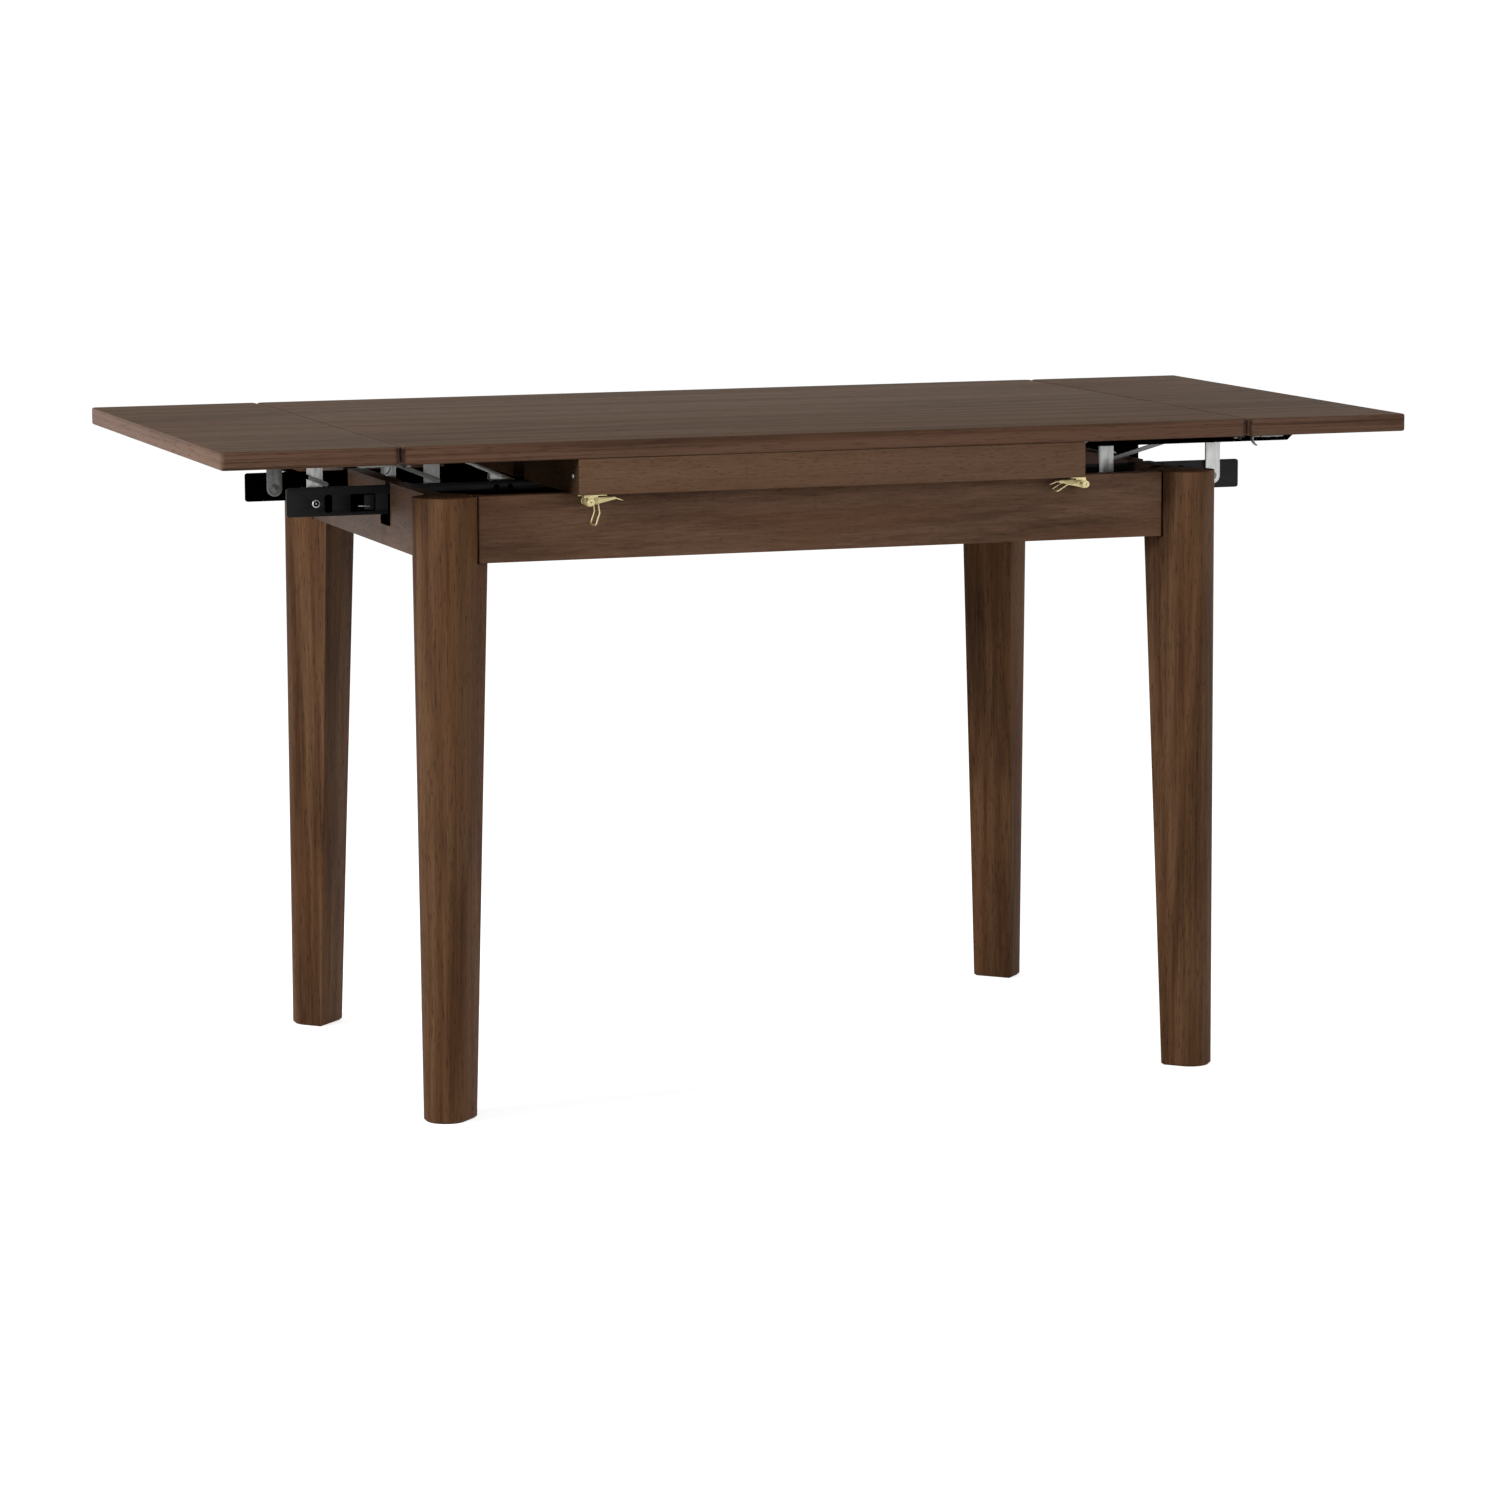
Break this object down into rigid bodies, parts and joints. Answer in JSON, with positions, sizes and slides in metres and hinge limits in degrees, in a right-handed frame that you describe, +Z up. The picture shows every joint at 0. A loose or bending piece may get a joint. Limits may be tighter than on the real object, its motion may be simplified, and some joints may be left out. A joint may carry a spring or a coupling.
{
  "type": "extending dining table",
  "caption": "Rectangular wooden dining table on tapered legs, with a raised leaf at each end carried by steel slide bars and folding lift links.",
  "frame": {"origin": "on the floor, under the middle of the table", "axes": "+X along the table towards its right leaf, +Y towards its back, +Z up"},
  "size_m": [1.4, 0.66, 0.753],
  "materials": {
    "top_wood": "satin walnut grain",
    "frame_wood": "satin stained hardwood",
    "leg_wood": "satin stained hardwood",
    "black_steel": "satin black",
    "zinc_steel": "zinc plated",
    "grey_steel": "plain steel",
    "brass": "pale brass plated"
  },
  "bodies": {
    "frame": {"top": "top_wood", "spacer_front": "frame_wood", "spacer_back": "frame_wood", "spacer_left": "frame_wood", "spacer_right": "frame_wood", "apron_front": "frame_wood", "apron_back": "frame_wood", "apron_left": "frame_wood", "apron_right": "frame_wood", "leg_front_left": "leg_wood", "leg_front_right": "leg_wood", "leg_back_left": "leg_wood", "leg_back_right": "leg_wood", "cross_rail": "frame_wood", "corner_blocks": "frame_wood", "leg_bolts": "zinc_steel", "left_front_channel": "black_steel", "left_back_channel": "black_steel", "right_front_channel": "black_steel", "right_back_channel": "black_steel", "latch_plates": "brass", "lock_keepers": "zinc_steel"},
    "left_bars": {"left_front_bar": "black_steel", "left_back_bar": "black_steel", "left_bar_rivets": "zinc_steel", "left_ramp_brackets": "zinc_steel"},
    "left_outer_links": {"left_front_outer_link": "zinc_steel", "left_back_outer_link": "zinc_steel"},
    "left_inner_links": {"left_front_inner_link": "zinc_steel", "left_back_inner_link": "zinc_steel"},
    "left_leaf_unit": {"left_leaf": "top_wood", "left_front_carrier": "black_steel", "left_back_carrier": "black_steel", "left_carrier_rivets": "zinc_steel", "left_lock_hooks": "zinc_steel"},
    "left_outer_stays": {"left_outer_stays": "grey_steel"},
    "left_inner_stays": {"left_inner_stays": "grey_steel"},
    "right_bars": {"right_front_bar": "black_steel", "right_back_bar": "black_steel", "right_bar_rivets": "zinc_steel", "right_ramp_brackets": "zinc_steel"},
    "right_outer_links": {"right_front_outer_link": "zinc_steel", "right_back_outer_link": "zinc_steel"},
    "right_inner_links": {"right_front_inner_link": "zinc_steel", "right_back_inner_link": "zinc_steel"},
    "right_leaf_unit": {"right_leaf": "top_wood", "right_front_carrier": "black_steel", "right_back_carrier": "black_steel", "right_carrier_rivets": "zinc_steel", "right_lock_hooks": "zinc_steel"},
    "right_inner_stays": {"right_inner_stays": "grey_steel"},
    "lever_front_left": {"lever_front_left": "brass"},
    "bail_front_left": {"bail_front_left": "brass"},
    "lever_front_right": {"lever_front_right": "brass"},
    "bail_front_right": {"bail_front_right": "brass"},
    "lever_back_left": {"lever_back_left": "brass"},
    "bail_back_left": {"bail_back_left": "brass"},
    "lever_back_right": {"lever_back_right": "brass"},
    "bail_back_right": {"bail_back_right": "brass"}
  },
  "joints": [
    {"name": "left_bar_slide", "type": "slide", "parent": "frame", "child": "left_bars", "axis": [-1, 0, 0], "range_m": [-0.243, 0]},
    {"name": "left_leaf_drop", "type": "hinge", "parent": "left_bars", "child": "left_outer_links", "pos_m": [-0.537, 0, 0.6715], "axis": [0, -1, 0], "range_deg": [0, 60]},
    {"name": "left_inner_link_turn", "type": "hinge", "parent": "left_bars", "child": "left_inner_links", "pos_m": [-0.401, 0, 0.6715], "axis": [0, -1, 0], "range_deg": [0, 60]},
    {"name": "left_leaf_level", "type": "hinge", "parent": "left_outer_links", "child": "left_leaf_unit", "pos_m": [-0.537, 0, 0.7215], "axis": [0, -1, 0], "range_deg": [-60, 0]},
    {"name": "left_outer_stay_turn", "type": "hinge", "parent": "left_leaf_unit", "child": "left_outer_stays", "pos_m": [-0.594, 0, 0.721], "axis": [0, -1, 0], "range_deg": [0, 19.7]},
    {"name": "left_inner_stay_turn", "type": "hinge", "parent": "left_leaf_unit", "child": "left_inner_stays", "pos_m": [-0.464, 0, 0.721], "axis": [0, -1, 0], "range_deg": [0, 19.7]},
    {"name": "right_bar_slide", "type": "slide", "parent": "frame", "child": "right_bars", "axis": [1, 0, 0], "range_m": [-0.243, 0]},
    {"name": "right_leaf_drop", "type": "hinge", "parent": "right_bars", "child": "right_outer_links", "pos_m": [0.537, 0, 0.6715], "axis": [0, 1, 0], "range_deg": [0, 60]},
    {"name": "right_inner_link_turn", "type": "hinge", "parent": "right_bars", "child": "right_inner_links", "pos_m": [0.401, 0, 0.6715], "axis": [0, 1, 0], "range_deg": [0, 60]},
    {"name": "right_leaf_level", "type": "hinge", "parent": "right_outer_links", "child": "right_leaf_unit", "pos_m": [0.537, 0, 0.7215], "axis": [0, 1, 0], "range_deg": [-60, 0]},
    {"name": "right_inner_stay_turn", "type": "hinge", "parent": "right_leaf_unit", "child": "right_inner_stays", "pos_m": [0.5065, 0, 0.721], "axis": [0, 1, 0], "range_deg": [0, 13.6]},
    {"name": "lever_front_left_turn", "type": "hinge", "parent": "frame", "child": "lever_front_left", "pos_m": [-0.2855, -0.315, 0.6848], "axis": [0, 1, 0], "range_deg": [0, 100]},
    {"name": "bail_front_left_swing", "type": "hinge", "parent": "lever_front_left", "child": "bail_front_left", "pos_m": [-0.2769, -0.315, 0.6858], "axis": [0, -1, 0], "range_deg": [-58, 72]},
    {"name": "lever_front_right_turn", "type": "hinge", "parent": "frame", "child": "lever_front_right", "pos_m": [0.3015, -0.315, 0.6848], "axis": [0, -1, 0], "range_deg": [0, 100]},
    {"name": "bail_front_right_swing", "type": "hinge", "parent": "lever_front_right", "child": "bail_front_right", "pos_m": [0.2929, -0.315, 0.6858], "axis": [0, 1, 0], "range_deg": [-136, 10]},
    {"name": "lever_back_left_turn", "type": "hinge", "parent": "frame", "child": "lever_back_left", "pos_m": [-0.2855, 0.315, 0.6848], "axis": [0, 1, 0], "range_deg": [0, 100]},
    {"name": "bail_back_left_swing", "type": "hinge", "parent": "lever_back_left", "child": "bail_back_left", "pos_m": [-0.2769, 0.315, 0.6858], "axis": [0, -1, 0], "range_deg": [-58, 72]},
    {"name": "lever_back_right_turn", "type": "hinge", "parent": "frame", "child": "lever_back_right", "pos_m": [0.3015, 0.315, 0.6848], "axis": [0, -1, 0], "range_deg": [0, 100]},
    {"name": "bail_back_right_swing", "type": "hinge", "parent": "lever_back_right", "child": "bail_back_right", "pos_m": [0.2929, 0.315, 0.6858], "axis": [0, 1, 0], "range_deg": [-136, 10]}
  ],
  "couplings": [
    {"joint": "left_bar_slide", "follows": "left_leaf_drop", "m_per_rad": -0.04},
    {"joint": "left_inner_link_turn", "follows": "left_leaf_drop", "ratio": 1},
    {"joint": "left_leaf_level", "follows": "left_leaf_drop", "ratio": -1},
    {"joint": "left_outer_stay_turn", "follows": "left_leaf_drop", "ratio": 0.328},
    {"joint": "left_inner_stay_turn", "follows": "left_leaf_drop", "ratio": 0.328},
    {"joint": "right_bar_slide", "follows": "right_leaf_drop", "m_per_rad": -0.04},
    {"joint": "right_inner_link_turn", "follows": "right_leaf_drop", "ratio": 1},
    {"joint": "right_leaf_level", "follows": "right_leaf_drop", "ratio": -1},
    {"joint": "right_inner_stay_turn", "follows": "right_leaf_drop", "ratio": 0.2258}
  ]
}
